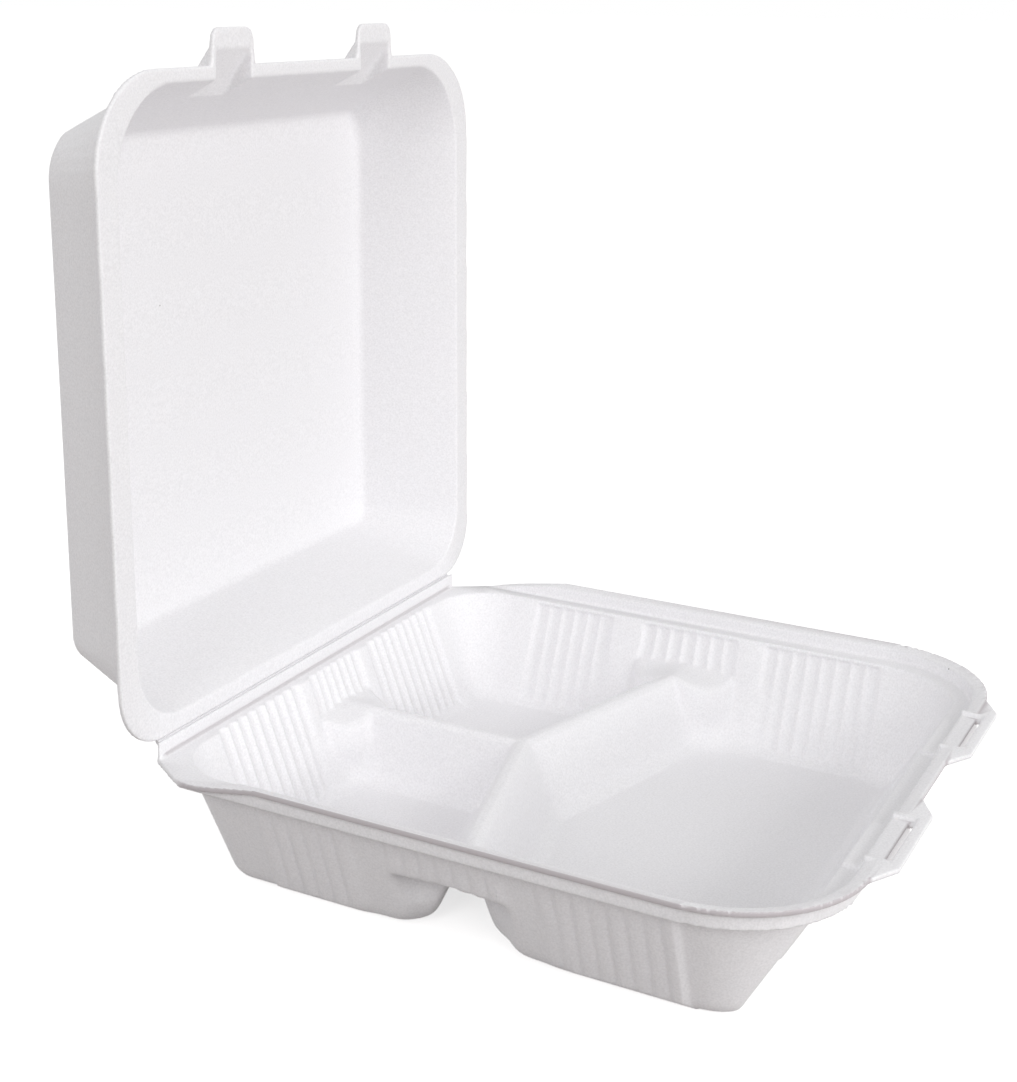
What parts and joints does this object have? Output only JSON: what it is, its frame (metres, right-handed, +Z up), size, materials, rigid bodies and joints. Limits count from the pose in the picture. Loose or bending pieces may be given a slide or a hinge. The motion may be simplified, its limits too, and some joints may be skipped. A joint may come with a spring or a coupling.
{
  "type": "foam clamshell food container",
  "caption": "White foam takeaway container: fluted tray with a V-shaped divider and its hinged domed lid standing open, closing tongues above slotted tabs.",
  "frame": {"origin": "on the foot plane, under the middle of the tray's rim", "axes": "+X along the hinge, +Y from the closing tabs towards the hinge, +Z up from the foot"},
  "size_m": [0.237, 0.2755, 0.274],
  "materials": {
    "foam_tray": "matt expanded foam skin, white",
    "foam_lid": "matt expanded foam skin, white"
  },
  "bodies": {
    "base_tray": {"base_tray": "foam_tray"},
    "lid": {"lid": "foam_lid"}
  },
  "joints": [
    {"name": "lid_hinge", "type": "hinge", "parent": "base_tray", "child": "lid", "pos_m": [0, 0.11275, 0.0475], "axis": [-1, 0, 0], "range_deg": [-91.3, 88.7]}
  ]
}
